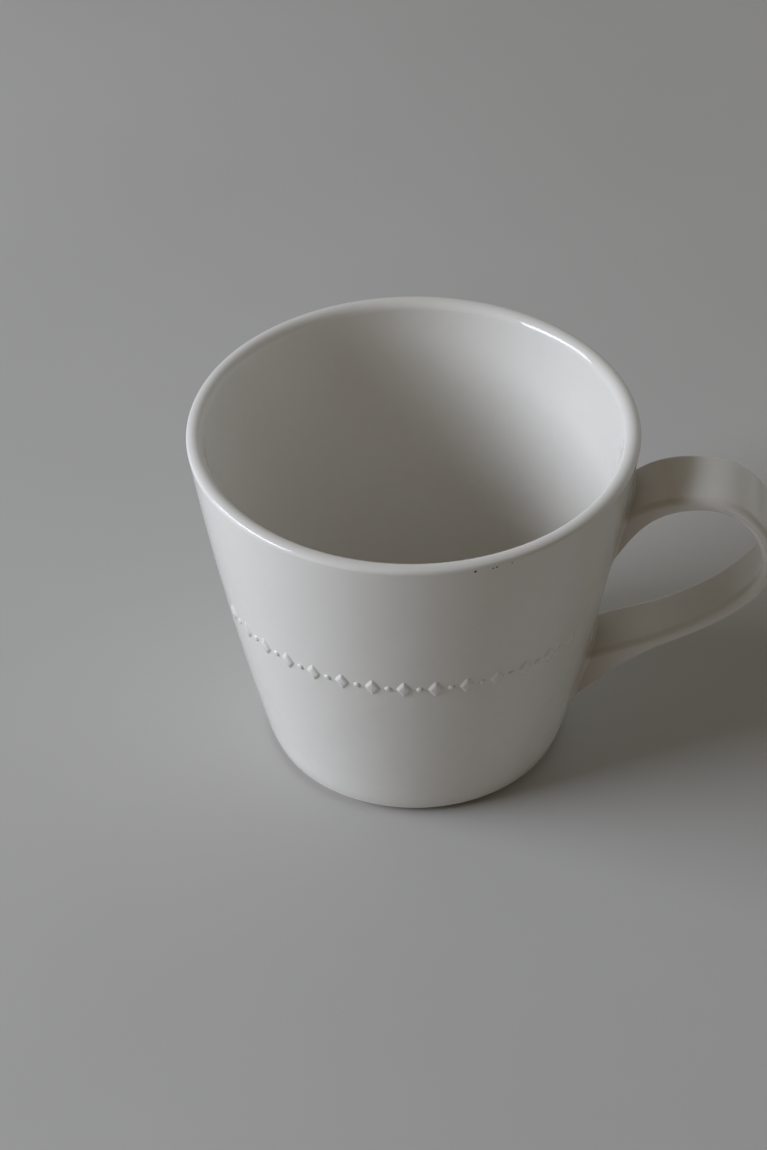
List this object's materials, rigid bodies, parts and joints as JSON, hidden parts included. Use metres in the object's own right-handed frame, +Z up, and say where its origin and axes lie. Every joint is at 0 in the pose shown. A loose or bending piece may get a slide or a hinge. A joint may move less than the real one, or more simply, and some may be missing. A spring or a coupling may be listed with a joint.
{
  "type": "ceramic mug",
  "caption": "Tapered glazed ceramic mug with a strap handle, a raised lozenge and bead band on one side and a bare-clay foot ring.",
  "frame": {"origin": "on the cup's axis, level with the surface the mug stands on, 0.8 mm below the middle of its recessed base", "axes": "+Z up along the cup's axis, +X from the axis towards the handle, -Y towards the middle of the raised band"},
  "size_m": [0.1207, 0.0916, 0.079],
  "materials": {
    "glaze": "glossy off-white glaze",
    "seam_glaze": "glossy off-white glaze, pooled a little thicker in the seams",
    "bare_clay": "matte unglazed fired clay"
  },
  "bodies": {
    "root": {"cup_body": "glaze", "foot_ring": "bare_clay", "handle": "glaze", "upper_handle_fillet": "seam_glaze", "lower_handle_fillet": "seam_glaze", "lozenge_sprig_01": "glaze", "lozenge_sprig_02": "glaze", "lozenge_sprig_03": "glaze", "lozenge_sprig_04": "glaze", "lozenge_sprig_05": "glaze", "lozenge_sprig_06": "glaze", "lozenge_sprig_07": "glaze", "lozenge_sprig_08": "glaze", "lozenge_sprig_09": "glaze", "lozenge_sprig_10": "glaze", "lozenge_sprig_11": "glaze", "lozenge_sprig_12": "glaze", "lozenge_sprig_13": "glaze", "lozenge_sprig_14": "glaze", "bead_sprig_01": "glaze", "bead_sprig_02": "glaze", "bead_sprig_03": "glaze", "bead_sprig_04": "glaze", "bead_sprig_05": "glaze", "bead_sprig_06": "glaze", "bead_sprig_07": "glaze", "bead_sprig_08": "glaze", "bead_sprig_09": "glaze", "bead_sprig_10": "glaze", "bead_sprig_11": "glaze", "bead_sprig_12": "glaze", "bead_sprig_13": "glaze"}
  },
  "joints": []
}
